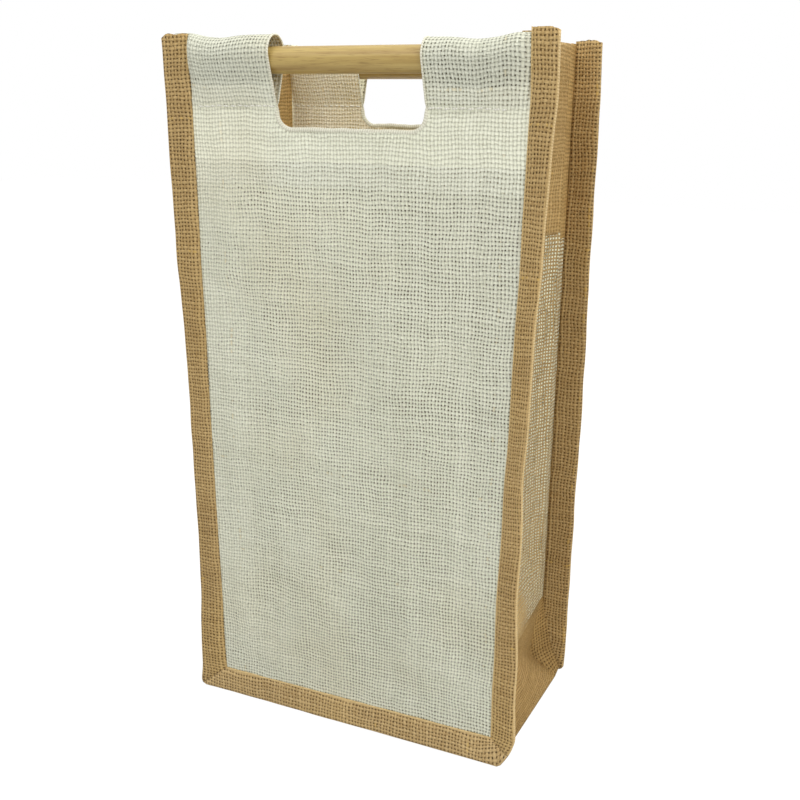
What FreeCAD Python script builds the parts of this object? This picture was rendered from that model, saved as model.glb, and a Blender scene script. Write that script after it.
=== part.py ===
"""Two-bottle jute carrier bag with wooden dowel handles, in millimetres.

The bag is two rectangular panels joined by a gusset that runs down one side, under the base and up the
other side. Every seam is turned outwards and bound with a folded jute strip, so the panels carry a flange
that stands out past the gusset. The top of each panel is turned over a dowel on both sides of a hand hole.
X runs across the panels, -Y is the front and Z is up. The origin is on the floor, under the bag's middle.
"""

import FreeCAD
import Part
import Sketcher
import math
import os

SIZES = {
    # Overall size, over the bindings.
    "bag_width": 200.0,
    "bag_height": 374.0,
    "bag_depth": 108.0,
    # Cloth and the strip that binds the seams.
    "cloth": 1.2,
    "binding_cloth": 1.0,
    "binding_width": 15.0,
    "binding_rear_width": 11.5,
    "mitre_gap": 0.2,
    # Gap at a fold line, and between soft pieces that are not sewn face to face.
    "clearance": 0.3,
    # Hand hole, measured down from the top of the bag.
    "hole_width": 78.0,
    "hole_drop": 45.0,
    "hole_corner_radius": 8.0,
    # Sleeves that hold the dowel, and the doubled cloth below them.
    "sleeve_top_drop": 2.0,
    "sleeve_seam_drop": 34.0,
    "sleeve_bore_radius": 7.4,
    "facing_drop": 70.0,
    # Dowel handles.
    "dowel_diameter": 12.5,
    "dowel_seat_gap": 0.3,
    "dowel_end_gap": 1.5,
    "dowel_end_radius": 1.0,
    # Gusset: the strip beside the seam, and the rounded corner that sits on the floor.
    "gusset_top_drop": 2.0,
    "gusset_edge_depth": 10.3,
    # How far the empty bag's side gusset draws in between its folds, and how fast it does so.
    "gusset_sag": 8.0,
    "gusset_sag_slope": 7.0,
    "gusset_sag_rise": 70.0,
    "base_lift": 4.0,
    "corner_reach": 10.0,
    "corner_bevel": 6.0,
    # How far cutting sketches run past what they cut.
    "overrun": 5.0,
}

document = FreeCAD.newDocument("BottleCarrier")
sheet = document.addObject("Spreadsheet::Sheet", "Sizes")
for row, (alias, size) in enumerate(SIZES.items(), start=1):
    sheet.set(f"A{row}", alias)
    sheet.set(f"B{row}", str(size))
    sheet.setAlias(f"B{row}", alias)
document.recompute()

# Places that several pieces share, as expressions on the sheet.
CLOTH = "Sizes.cloth"
GAP = "Sizes.clearance"
HALF_WIDTH = "Sizes.bag_width / 2"
HALF_DEPTH = "Sizes.bag_depth / 2"
TOP = "Sizes.bag_height"

# The seam plane is the inner face of a panel; the seam line is the outer face of the gusset.
SEAM_Y = f"({HALF_DEPTH} - Sizes.binding_cloth - {CLOTH})"
SEAM_X = f"({HALF_WIDTH} - Sizes.binding_width)"
INSIDE_X = f"({SEAM_X} - {CLOTH})"
SEAM_Z = "Sizes.binding_width"

# The cloth inside a binding stops short of the binding's fold.
EDGE_X = f"({HALF_WIDTH} - Sizes.binding_cloth - {GAP})"
EDGE_Z = f"(Sizes.binding_cloth + {GAP})"

# Hand hole, sleeve and facing.
HOLE_X = "Sizes.hole_width / 2"
HOLE_Z = f"({TOP} - Sizes.hole_drop)"
SLEEVE_SEAM_Z = f"({TOP} - Sizes.sleeve_seam_drop)"
SLEEVE_END_X = f"({INSIDE_X} - {GAP})"
FACING_Z = f"({TOP} - Sizes.facing_drop)"

# The sleeve's bore is a drop: an arc above, and two flanks that meet where the cloth is sewn together.
BORE_RADIUS = "Sizes.sleeve_bore_radius"
SLEEVE_RADIUS = f"({BORE_RADIUS} + {CLOTH})"
ARC_Z = f"({TOP} - Sizes.sleeve_top_drop - {SLEEVE_RADIUS})"
BORE_FOOT_Z = f"({SLEEVE_SEAM_Z} + {CLOTH})"
FLANK_SINE = f"({BORE_RADIUS} / ({ARC_Z} - {BORE_FOOT_Z}))"
FLANK_TANGENT = f"({FLANK_SINE} / sqrt(1 - {FLANK_SINE} ^ 2))"
SLEEVE_FOOT_Y = f"({CLOTH} / {FLANK_SINE} - {CLOTH}) * {FLANK_TANGENT}"

# The dowel rests in the bore's two flanks.
DOWEL_RADIUS = "Sizes.dowel_diameter / 2"
DOWEL_Z = f"({BORE_FOOT_Z} + ({DOWEL_RADIUS} + Sizes.dowel_seat_gap) / {FLANK_SINE})"

# The gusset folds along lines a strip's depth in from each seam, and along its own middle.
FOLD_Y = f"({SEAM_Y} - Sizes.gusset_edge_depth)"
GUSSET_TOP = f"({TOP} - Sizes.gusset_top_drop)"
BASE_Z = "Sizes.base_lift"
# The base folds upwards by half the folding depth, so the sides begin above that.
CORNER_Z = f"({BASE_Z} + {CLOTH} + {FOLD_Y} + {GAP})"
CORNER_X = f"({SEAM_X} + Sizes.corner_reach)"
BEVEL = "Sizes.corner_bevel"
BEVEL_INSET = f"{CLOTH} * tan(22.5 deg)"

FRONT_SIGN, BACK_SIGN = -1, 1
LEFT_SIGN, RIGHT_SIGN = -1, 1
SIDE_NAME = {LEFT_SIGN: "left", RIGHT_SIGN: "right"}
FACE_NAME = {FRONT_SIGN: "front", BACK_SIGN: "back"}
ORIGIN_INDICES, ACROSS_INDEX, UP_INDEX = (-1, 1), -1, -2
START_INDEX, END_INDEX, CENTRE_INDEX = 1, 2, 3

pieces = []


def value_of(expression):
    """The number that an expression on the sheet comes to."""
    result = sheet.evalExpression(expression)
    return float(getattr(result, "Value", result))


def new_body(name):
    """A body that is one sub-part of the bag."""
    body = document.addObject("PartDesign::Body", name)
    body.Label = name
    pieces.append(body)
    return body


def place(body, **places):
    """Ties the body's place along x, y or z to expressions."""
    for axis, expression in places.items():
        body.setExpression(f"Placement.Base.{axis}", expression)


def new_sketch(body, plane_role, offset=None):
    """A sketch on one of the body's own origin planes, moved along its normal by an expression."""
    plane = next(f for f in body.Origin.OriginFeatures if f.Role == plane_role)
    sketch = body.newObject("Sketcher::SketchObject", f"{body.Name}_sketch")
    sketch.AttachmentSupport = [(plane, "")]
    sketch.MapMode = "FlatFace"
    if offset:
        sketch.setExpression("AttachmentOffset.Base.z", offset)
    return sketch


def pin_point(sketch, geometry, end, across, up):
    """Ties a point of the sketch to expressions for its two coordinates."""
    for kind, axis, expression in (("DistanceX", UP_INDEX, across), ("DistanceY", ACROSS_INDEX, up)):
        if expression == "0":
            sketch.addConstraint(Sketcher.Constraint("PointOnObject", geometry, end, axis))
            continue
        index = sketch.addConstraint(
            Sketcher.Constraint(kind, *ORIGIN_INDICES, geometry, end, value_of(expression))
        )
        sketch.setExpression(f"Constraints[{index}]", expression)


def add_polygon(sketch, corners):
    """A closed outline through corners, each a pair of expressions."""
    points = [FreeCAD.Vector(value_of(across), value_of(up), 0) for across, up in corners]
    lines = [
        sketch.addGeometry(Part.LineSegment(point, points[(i + 1) % len(points)]), False)
        for i, point in enumerate(points)
    ]
    for i, line in enumerate(lines):
        following = lines[(i + 1) % len(lines)]
        sketch.addConstraint(Sketcher.Constraint("Coincident", line, END_INDEX, following, START_INDEX))
    for line, (across, up) in zip(lines, corners):
        pin_point(sketch, line, START_INDEX, across, up)


def add_drop(sketch, foot_points, arc_up, radius):
    """A drop-shaped outline: an arc above two flanks that run down to one or two foot points."""
    centre = FreeCAD.Vector(0, value_of(arc_up), 0)
    arc_radius = value_of(radius)
    lean = math.asin(value_of(FLANK_SINE))
    circle = Part.Circle(centre, FreeCAD.Vector(0, 0, 1), arc_radius)
    arc = sketch.addGeometry(Part.ArcOfCircle(circle, -lean, math.pi + lean), False)
    reach, rise = arc_radius * math.cos(lean), centre.y - arc_radius * math.sin(lean)
    right_foot, left_foot = foot_points[0], foot_points[-1]
    right_start = FreeCAD.Vector(value_of(right_foot[0]), value_of(right_foot[1]), 0)
    left_start = FreeCAD.Vector(value_of(left_foot[0]), value_of(left_foot[1]), 0)
    right = sketch.addGeometry(Part.LineSegment(right_start, FreeCAD.Vector(reach, rise, 0)), False)
    left = sketch.addGeometry(Part.LineSegment(FreeCAD.Vector(-reach, rise, 0), left_start), False)
    sketch.addConstraint(Sketcher.Constraint("Tangent", right, END_INDEX, arc, START_INDEX))
    sketch.addConstraint(Sketcher.Constraint("Tangent", arc, END_INDEX, left, START_INDEX))
    pin_point(sketch, arc, CENTRE_INDEX, "0", arc_up)
    index = sketch.addConstraint(Sketcher.Constraint("Radius", arc, arc_radius))
    sketch.setExpression(f"Constraints[{index}]", radius)
    if len(foot_points) > 1:
        foot = sketch.addGeometry(Part.LineSegment(left_start, right_start), False)
        sketch.addConstraint(Sketcher.Constraint("Coincident", left, END_INDEX, foot, START_INDEX))
        sketch.addConstraint(Sketcher.Constraint("Coincident", foot, END_INDEX, right, START_INDEX))
        pin_point(sketch, left, END_INDEX, *left_foot)
    else:
        sketch.addConstraint(Sketcher.Constraint("Coincident", left, END_INDEX, right, START_INDEX))
    pin_point(sketch, right, START_INDEX, *right_foot)


def pad(body, sketch, length, reverse=False, centred=False):
    """Thickens a sketch by an expression, along its normal, against it, or half to each side."""
    feature = body.newObject("PartDesign::Pad", f"{body.Name}_pad")
    feature.Profile = sketch
    feature.setExpression("Length", length)
    feature.Reversed = reverse
    if centred:
        feature.SideType = "Symmetric"
    return feature


def cut_through(body, sketch):
    """Cuts a sketch's outline through the whole body, both ways from the sketch."""
    feature = body.newObject("PartDesign::Pocket", f"{body.Name}_pocket")
    feature.Profile = sketch
    feature.Type = "ThroughAll"
    feature.SideType = "Symmetric"
    return feature


def fillet(body, base, radius, chosen):
    """Rounds the base feature's edges whose middle point the test chooses."""
    document.recompute()
    names = [
        f"Edge{i}"
        for i, edge in enumerate(base.Shape.Edges, start=1)
        if chosen(edge, edge.valueAt((edge.FirstParameter + edge.LastParameter) / 2))
    ]
    feature = body.newObject("PartDesign::Fillet", f"{body.Name}_fillet")
    feature.Base = (base, names)
    feature.setExpression("Radius", radius)
    return feature


def mirrored(corners):
    """The corners of an outline's right half, followed by their mirror images from the last to the first."""
    return corners + [(f"-({across})", up) for across, up in reversed(corners)]


def round_hole_corners(body, base):
    """Rounds the two lower corners of the hand hole."""
    hole_x, hole_z = value_of(HOLE_X), value_of(HOLE_Z)
    near = value_of(GAP)

    def is_hole_corner(edge, middle):
        return abs(abs(middle.x) - hole_x) < near and abs(middle.z - hole_z) < near

    fillet(body, base, "Sizes.hole_corner_radius", is_hole_corner)


def make_panel(face):
    """The outer cloth of the front or back, with the hand hole and two narrow tabs inside the bindings."""
    body = new_body(f"{FACE_NAME[face]}_panel")
    sketch = new_sketch(body, "XZ_Plane")
    tab_top = f"({TOP} - {GAP})"
    right_half = [
        (EDGE_X, EDGE_Z),
        (EDGE_X, tab_top),
        (INSIDE_X, tab_top),
        (INSIDE_X, SLEEVE_SEAM_Z),
        (HOLE_X, SLEEVE_SEAM_Z),
        (HOLE_X, HOLE_Z),
    ]
    add_polygon(sketch, mirrored(right_half))
    sheet_of_cloth = pad(body, sketch, CLOTH, reverse=face == BACK_SIGN)
    round_hole_corners(body, sheet_of_cloth)
    place(body, y=f"{face} * {SEAM_Y}")


def make_facing(face):
    """The panel's turned-down cloth inside the bag, below the sleeves and around the hand hole."""
    body = new_body(f"{FACE_NAME[face]}_facing")
    sketch = new_sketch(body, "XZ_Plane")
    right_half = [
        (SLEEVE_END_X, FACING_Z),
        (SLEEVE_END_X, SLEEVE_SEAM_Z),
        (HOLE_X, SLEEVE_SEAM_Z),
        (HOLE_X, HOLE_Z),
    ]
    add_polygon(sketch, mirrored(right_half))
    sheet_of_cloth = pad(body, sketch, CLOTH, reverse=face == FRONT_SIGN)
    round_hole_corners(body, sheet_of_cloth)
    place(body, y=f"{face} * {SEAM_Y}")


def make_sleeve(face, side):
    """The cloth turned over the dowel on one side of the hand hole."""
    body = new_body(f"{FACE_NAME[face]}_{SIDE_NAME[side]}_sleeve")
    sketch = new_sketch(body, "YZ_Plane")
    outer_feet = [(SLEEVE_FOOT_Y, SLEEVE_SEAM_Z), (f"-({SLEEVE_FOOT_Y})", SLEEVE_SEAM_Z)]
    add_drop(sketch, outer_feet, ARC_Z, SLEEVE_RADIUS)
    add_drop(sketch, [("0", BORE_FOOT_Z)], ARC_Z, BORE_RADIUS)
    pad(body, sketch, f"{SLEEVE_END_X} - {HOLE_X}", reverse=side == LEFT_SIGN)
    place(body, x=f"{side} * {HOLE_X}", y=f"{face} * {SEAM_Y}")


def make_dowel(face):
    """The round wooden handle, with its ends inside the two sleeves."""
    body = new_body(f"{FACE_NAME[face]}_dowel")
    sketch = new_sketch(body, "YZ_Plane")
    radius = value_of(DOWEL_RADIUS)
    circle = Part.Circle(FreeCAD.Vector(0, 0, 0), FreeCAD.Vector(0, 0, 1), radius)
    rim = sketch.addGeometry(circle, False)
    sketch.addConstraint(Sketcher.Constraint("Coincident", rim, CENTRE_INDEX, *ORIGIN_INDICES))
    index = sketch.addConstraint(Sketcher.Constraint("Radius", rim, radius))
    sketch.setExpression(f"Constraints[{index}]", DOWEL_RADIUS)
    rod = pad(body, sketch, f"2 * ({SLEEVE_END_X} - Sizes.dowel_end_gap)", centred=True)
    fillet(body, rod, "Sizes.dowel_end_radius", lambda edge, middle: len(edge.Vertexes) == 1)
    place(body, y=f"{face} * {SEAM_Y}", z=DOWEL_Z)


def binding_section(face, reach):
    """The folded strip's section: a front leg, the fold at the outer edge, and a shorter rear leg.

    reach gives the expression for a distance in from the bag's outer edge. The pairs are (in, depth).
    """
    skin = "Sizes.binding_cloth"
    slot = f"({skin} + 2 * {CLOTH})"
    inner = f"({slot} + {skin})"
    depths = {"outer": "0", "skin": skin, "slot": slot, "inner": inner}
    outline = [
        ("Sizes.binding_width", "outer"),
        ("0", "outer"),
        ("0", "inner"),
        ("Sizes.binding_rear_width", "inner"),
        ("Sizes.binding_rear_width", "slot"),
        (skin, "slot"),
        (skin, "skin"),
        ("Sizes.binding_width", "skin"),
    ]
    return [(reach(inwards), f"{face} * ({HALF_DEPTH} - {depths[depth]})") for inwards, depth in outline]


def cut_mitre(body, corners):
    """Cuts a binding's end along the line where it meets the next binding."""
    sketch = new_sketch(body, "XZ_Plane")
    add_polygon(sketch, corners)
    cut_through(body, sketch)


def make_side_binding(face, side):
    """The upright binding on one edge of a panel, cut at its foot to meet the bottom binding."""
    body = new_body(f"{FACE_NAME[face]}_{SIDE_NAME[side]}_binding")
    section = new_sketch(body, "XY_Plane")
    add_polygon(section, binding_section(face, lambda inwards: f"{side} * ({HALF_WIDTH} - {inwards})"))
    pad(body, section, TOP)
    width, past, gap = "Sizes.binding_width", "Sizes.overrun", "Sizes.mitre_gap"
    cut_mitre(
        body,
        [
            (f"{side} * ({HALF_WIDTH} + {past})", f"-{past} + {gap}"),
            (f"{side} * ({HALF_WIDTH} - {width} - {past})", f"{width} + {past} + {gap}"),
            (f"{side} * ({HALF_WIDTH} - {width} - {past})", f"-{past} + {gap}"),
        ],
    )


def make_bottom_binding(face):
    """The level binding along a panel's foot, cut at both ends to meet the upright bindings."""
    body = new_body(f"{FACE_NAME[face]}_bottom_binding")
    section = new_sketch(body, "YZ_Plane")
    outline = binding_section(face, lambda inwards: inwards)
    add_polygon(section, [(depth, up) for up, depth in outline])
    pad(body, section, "Sizes.bag_width", centred=True)
    width, past = "Sizes.binding_width", "Sizes.overrun"
    for side in (LEFT_SIGN, RIGHT_SIGN):
        cut_mitre(
            body,
            [
                (f"{side} * ({HALF_WIDTH} + {past})", f"-{past}"),
                (f"{side} * ({HALF_WIDTH} + {past})", f"{width} + {past}"),
                (f"{side} * ({HALF_WIDTH} - {width} - {past})", f"{width} + {past}"),
            ],
        )


def gusset_band(outer_path, inner_path):
    """The gusset's outline across the bag: its outer line from right to left, then its inner line back."""
    return mirrored(outer_path) + list(reversed(mirrored(inner_path)))


def make_gusset_edge(face):
    """The gusset beside one panel: its seam allowance inside the bindings, and the strip up to the fold."""
    body = new_body(f"{FACE_NAME[face]}_gusset_edge")
    seam_outer = [
        (SEAM_X, GUSSET_TOP),
        (SEAM_X, CORNER_Z),
        (SEAM_X, f"({SEAM_Z} + {BEVEL})"),
        (f"({SEAM_X} - {BEVEL})", SEAM_Z),
    ]
    seam_inner = [
        (INSIDE_X, GUSSET_TOP),
        (INSIDE_X, CORNER_Z),
        (INSIDE_X, f"({SEAM_Z} + {BEVEL} + {BEVEL_INSET})"),
        (f"({SEAM_X} - {BEVEL} - {BEVEL_INSET})", f"({SEAM_Z} + {CLOTH})"),
    ]
    fold_outer = seam_outer[:2] + corner_outer_path()
    fold_inner = seam_inner[:2] + corner_inner_path()
    # The sketch plane's normal points to the front, and the strip runs from the seam into the bag.
    inwards = f"{face} * Sizes.gusset_edge_depth"
    seam_sketch = new_sketch(body, "XZ_Plane")
    add_polygon(seam_sketch, gusset_band(seam_outer, seam_inner))
    fold_sketch = new_sketch(body, "XZ_Plane", offset=inwards)
    add_polygon(fold_sketch, gusset_band(fold_outer, fold_inner))
    strip = body.newObject("PartDesign::AdditiveLoft", f"{body.Name}_strip")
    strip.Profile = seam_sketch
    strip.Sections = [fold_sketch]
    strip.Ruled = True
    allowance = new_sketch(body, "XZ_Plane")
    add_polygon(allowance, gusset_band([(EDGE_X, GUSSET_TOP), (EDGE_X, EDGE_Z)], seam_inner))
    pad(body, allowance, CLOTH, reverse=face == FRONT_SIGN)
    place(body, y=f"{face} * {SEAM_Y}")


def corner_outer_path():
    """The outer line of the gusset's lower right corner, from its widest point to the base."""
    return [
        (CORNER_X, f"({BASE_Z} + {BEVEL})"),
        (f"({CORNER_X} - {BEVEL})", BASE_Z),
    ]


def corner_inner_path():
    """The inner line of the gusset's lower right corner."""
    return [
        (f"({CORNER_X} - {CLOTH})", f"({BASE_Z} + {BEVEL} + {BEVEL_INSET})"),
        (f"({CORNER_X} - {BEVEL} - {BEVEL_INSET})", f"({BASE_Z} + {CLOTH})"),
    ]


def make_base_corner(side):
    """The gusset's rounded corner between one side and the base, which crumples when the bag is folded."""
    body = new_body(f"{SIDE_NAME[side]}_base_corner")
    sketch = new_sketch(body, "XZ_Plane")
    top = f"({CORNER_Z} - {GAP})"
    outline = (
        [(SEAM_X, top)]
        + corner_outer_path()
        + [(INSIDE_X, BASE_Z), (INSIDE_X, f"({BASE_Z} + {CLOTH})")]
        + list(reversed(corner_inner_path()))
        + [(INSIDE_X, top)]
    )
    add_polygon(sketch, [(f"{side} * {across}", up) for across, up in outline])
    pad(body, sketch, f"2 * ({FOLD_Y} - {GAP})", centred=True)


def gusset_half_outline(sag):
    """The section of a gusset half, drawn in by sag between its two folds. The pairs are (across, along)."""
    slope = "Sizes.gusset_sag_slope"
    outer = [
        (SEAM_X, f"({FOLD_Y} - {GAP})"),
        (f"({SEAM_X} - {sag})", f"({FOLD_Y} - {slope})"),
        (f"({SEAM_X} - {sag})", slope),
        (SEAM_X, GAP),
    ]
    return outer + [(f"({across} - {CLOTH})", along) for across, along in reversed(outer)]


def make_gusset_half(side, face):
    """The front or back half of a side gusset, between the fold by the seam and the middle fold.

    It hangs drawn in, but stays flat at its foot, on the corner, and at its top, beside the sleeves.
    """
    body = new_body(f"{SIDE_NAME[side]}_gusset_{FACE_NAME[face]}_half")
    levels = [
        (CORNER_Z, "0"),
        (f"({CORNER_Z} + Sizes.gusset_sag_rise)", "Sizes.gusset_sag"),
        (FACING_Z, "Sizes.gusset_sag"),
        (SLEEVE_SEAM_Z, "0"),
        (GUSSET_TOP, "0"),
    ]
    sections = []
    for height, sag in levels:
        section = new_sketch(body, "XY_Plane", offset=height)
        outline = gusset_half_outline(sag)
        add_polygon(section, [(f"{side} * {across}", f"{face} * {along}") for across, along in outline])
        sections.append(section)
    cloth = body.newObject("PartDesign::AdditiveLoft", f"{body.Name}_cloth")
    cloth.Profile = sections[0]
    cloth.Sections = sections[1:]
    cloth.Ruled = True


def make_base_half(face):
    """The front or back half of the base, between the fold by the seam and the middle fold."""
    body = new_body(f"base_{FACE_NAME[face]}_half")
    sketch = new_sketch(body, "XY_Plane")
    outline = [(SLEEVE_END_X, GAP), (SLEEVE_END_X, f"({FOLD_Y} - {GAP})")]
    add_polygon(sketch, [(across, f"{face} * {along}") for across, along in mirrored(outline)])
    pad(body, sketch, CLOTH)
    place(body, z=BASE_Z)


def check_document():
    """Stops the build if an object failed or a sub-part has no valid solid."""
    document.recompute()
    for item in document.Objects:
        if "Invalid" in item.State or "Error" in item.State:
            raise RuntimeError(f"{item.Label} failed: {item.State}")
    for body in pieces:
        if body.Shape.isNull() or not body.Shape.isValid() or not body.Shape.Solids:
            raise RuntimeError(f"{body.Label} has no valid solid")


for each_face in (FRONT_SIGN, BACK_SIGN):
    make_panel(each_face)
    make_facing(each_face)
    make_bottom_binding(each_face)
    make_gusset_edge(each_face)
    make_base_half(each_face)
    make_dowel(each_face)
    for each_side in (LEFT_SIGN, RIGHT_SIGN):
        make_sleeve(each_face, each_side)
        make_side_binding(each_face, each_side)
        make_gusset_half(each_side, each_face)
for each_side in (LEFT_SIGN, RIGHT_SIGN):
    make_base_corner(each_side)

check_document()
os.makedirs("parts", exist_ok=True)
for piece in pieces:
    piece.Shape.exportStep(os.path.join("parts", f"{piece.Label}.step"))
    size = piece.Shape.BoundBox
    print(f"{piece.Label}: {len(piece.Shape.Solids)} solid, {piece.Shape.Volume:.0f} mm3, "
          f"{size.XLength:.1f} x {size.YLength:.1f} x {size.ZLength:.1f} mm")
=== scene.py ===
"""Looks of the two-bottle jute carrier: woven panels, bound seams, sewn sleeves and wooden dowels.

Shapes are worked out in millimetres in the CAD frame and become metres when their mesh is made.
X runs across the panels, -Y is the front and Z is up. "Out" is the distance from the bag's middle plane
towards the outside of a face, so a front point lies at -out and a back point at +out.
"""

import math

import bpy
import numpy as np
from mathutils import Matrix, Vector


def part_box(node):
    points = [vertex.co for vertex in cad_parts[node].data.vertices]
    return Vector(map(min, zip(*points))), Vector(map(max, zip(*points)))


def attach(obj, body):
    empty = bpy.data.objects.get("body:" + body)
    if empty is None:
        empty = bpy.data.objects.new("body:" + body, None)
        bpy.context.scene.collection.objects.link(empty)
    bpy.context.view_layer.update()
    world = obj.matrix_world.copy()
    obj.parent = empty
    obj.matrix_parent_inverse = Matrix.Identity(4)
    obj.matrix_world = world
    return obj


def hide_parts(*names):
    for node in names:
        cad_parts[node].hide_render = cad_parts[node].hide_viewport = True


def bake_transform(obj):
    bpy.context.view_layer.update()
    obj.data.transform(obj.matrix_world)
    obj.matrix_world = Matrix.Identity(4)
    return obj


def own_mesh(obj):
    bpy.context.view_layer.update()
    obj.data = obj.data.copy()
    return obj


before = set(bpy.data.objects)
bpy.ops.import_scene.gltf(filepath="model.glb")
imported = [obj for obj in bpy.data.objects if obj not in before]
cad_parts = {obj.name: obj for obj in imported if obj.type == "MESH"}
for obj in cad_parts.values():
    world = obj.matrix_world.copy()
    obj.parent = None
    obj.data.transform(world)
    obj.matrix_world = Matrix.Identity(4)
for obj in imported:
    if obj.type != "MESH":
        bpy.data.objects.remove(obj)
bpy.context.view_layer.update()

MM = 0.001
SEED = 11
FACES = {"front": -1, "back": 1}
SIDES = {"left": -1, "right": 1}


def node_box(name):
    """A CAD node's lowest and highest corners, in mm."""
    return [np.array(corner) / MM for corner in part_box(name)]


# Layers and allowances of the cloth.
LAYER_HALF = 0.6
BINDING_THICK = 0.8
SEAM_ALLOWANCE = 8.0
CLOTH_FOOT_Z = 3.0
CLOSE = 0.1

# Places read from the CAD nodes.
BINDING_LOW, BINDING_HIGH = node_box("front_right_binding")
HALF_WIDTH = BINDING_HIGH[0]
TOP_Z = BINDING_HIGH[2]
SEAM_X = BINDING_LOW[0]
HALF_DEPTH = -BINDING_LOW[1]
BINDING_WIDTH = HALF_WIDTH - SEAM_X
FACING_Z = node_box("front_facing")[0][2]
SLEEVE_LOW, SLEEVE_HIGH = node_box("front_right_sleeve")
SLEEVE_FOOT_Z = SLEEVE_LOW[2]
SLEEVE_TOP_Z = SLEEVE_HIGH[2]
SLEEVE_RADIUS = (SLEEVE_HIGH[1] - SLEEVE_LOW[1]) / 2
SEAM_OUT = -(SLEEVE_LOW[1] + SLEEVE_HIGH[1]) / 2
GUSSET_TOP_Z = node_box("front_gusset_edge")[1][2]
SIDE_LOW, SIDE_HIGH = node_box("right_gusset_front_half")
SIDE_X = SIDE_HIGH[0] - LAYER_HALF
GUSSET_SAG = SIDE_HIGH[0] - SIDE_LOW[0] - 2 * LAYER_HALF
CORNER_Z = SIDE_LOW[2]
BASE_LOW, BASE_HIGH = node_box("base_front_half")
BASE_Z = (BASE_LOW[2] + BASE_HIGH[2]) / 2

# The hand hole, the panel's edge, and the gusset's fold lines.
HOLE_X = SLEEVE_LOW[0]
HOLE_RADIUS = 8.0
HOLE_DROP = 45.0
HOLE_Z = TOP_Z - HOLE_DROP
CLOTH_REACH = SEAM_X + SEAM_ALLOWANCE
FOLD_OUT = 41.5

# The usual peak of a sum of waves, over the root of their number.
RIPPLE_PEAK = 1.4


def smooth_step(low, high, value):
    """0 at low, 1 at high, and a smooth way between them."""
    share = np.clip((np.asarray(value, float) - low) / (high - low), 0, 1)
    return share * share * (3 - 2 * share)


def ripple(a, b, seed, waves=7, shortest=30.0, longest=120.0):
    """Gentle seeded unevenness of hanging cloth over two lengths in mm, about -1 to 1."""
    draw = np.random.default_rng(SEED + seed)
    total = np.zeros(np.broadcast(a, b).shape)
    for _ in range(waves):
        length = draw.uniform(shortest, longest)
        turn = draw.uniform(0, 2 * math.pi)
        phase = draw.uniform(0, 2 * math.pi)
        along = (a * math.cos(turn) + b * math.sin(turn)) / length
        total = total + np.sin(2 * math.pi * along + phase)
    return total / math.sqrt(waves) / RIPPLE_PEAK


def grid(*parts):
    """Points from their coordinates, each a number or an array, broadcast against each other."""
    return np.stack(np.broadcast_arrays(*parts), axis=-1)


def lengths_along(points, axis=0):
    """How far along a line, or along a grid's rows or columns, each point lies."""
    steps = np.linalg.norm(np.diff(points, axis=axis), axis=-1)
    start = np.zeros_like(np.take(steps, [0], axis=axis))
    return np.concatenate([start, np.cumsum(steps, axis=axis)], axis=axis)


def corner_line(corners, counts):
    """Points from corner to corner, with so many steps on each stretch."""
    corners = np.asarray(corners, float)
    parts = []
    for start, end, count in zip(corners[:-1], corners[1:], counts):
        parts.append(np.linspace(start, end, count, endpoint=False))
    return np.concatenate(parts + [corners[-1:]])


# Meshes


def new_object(name, vertices, faces, weave=None, materials=(), face_materials=None):
    """A mesh object from millimetres. weave gives each vertex its place on the flat cloth, in mm."""
    mesh = bpy.data.meshes.new(name)
    mesh.from_pydata((np.asarray(vertices) * MM).tolist(), [], np.asarray(faces).tolist())
    mesh.polygons.foreach_set("use_smooth", np.ones(len(mesh.polygons), bool))
    if weave is not None:
        loops = np.empty(len(mesh.loops), int)
        mesh.loops.foreach_get("vertex_index", loops)
        layer = mesh.uv_layers.new(name="weave")
        layer.data.foreach_set("uv", (np.asarray(weave)[loops] * MM).astype(np.float32).ravel())
    for material in materials:
        mesh.materials.append(material)
    if face_materials is not None:
        mesh.polygons.foreach_set("material_index", np.asarray(face_materials, np.int32))
    mesh.update()
    made = bpy.data.objects.new(name, mesh)
    bpy.context.scene.collection.objects.link(made)
    return made


def grid_faces(rows, columns):
    """The quads of a grid of vertices, as an array (rows - 1, columns - 1, 4)."""
    index = np.arange(rows * columns).reshape(rows, columns)
    return np.stack([index[:-1, :-1], index[:-1, 1:], index[1:, 1:], index[1:, :-1]], axis=-1)


def sheet_piece(name, points, weave, materials, thick=0, keep=None, kinds=None, flip=False):
    """A sheet of cloth from a grid of points, thickened about its middle where thick isn't 0.

    keep says which cells are cloth, kinds gives each cell's material, and flip turns the sheet over.
    """
    cells = (points.shape[0] - 1, points.shape[1] - 1)
    keep = np.ones(cells, bool) if keep is None else keep
    kinds = np.zeros(cells, int) if kinds is None else kinds
    if flip:
        points, weave, keep, kinds = (each[:, ::-1] for each in (points, weave, keep, kinds))
    used, faces = np.unique(grid_faces(*points.shape[:2])[keep], return_inverse=True)
    made = new_object(
        name,
        points.reshape(-1, 3)[used],
        faces.reshape(-1, 4),
        weave.reshape(-1, 2)[used],
        materials,
        kinds[keep],
    )
    return thickened(made, thick) if thick else made


def thickened(made, thick):
    """The object with its sheet turned into a thin closed cloth."""
    solidify = made.modifiers.new("cloth", "SOLIDIFY")
    solidify.thickness = thick * MM
    solidify.offset = 0
    depsgraph = bpy.context.evaluated_depsgraph_get()
    solid = bpy.data.meshes.new_from_object(made.evaluated_get(depsgraph))
    flat = made.data
    made.modifiers.clear()
    made.data = solid
    bpy.data.meshes.remove(flat)
    solid.name = made.name
    return made


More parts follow.
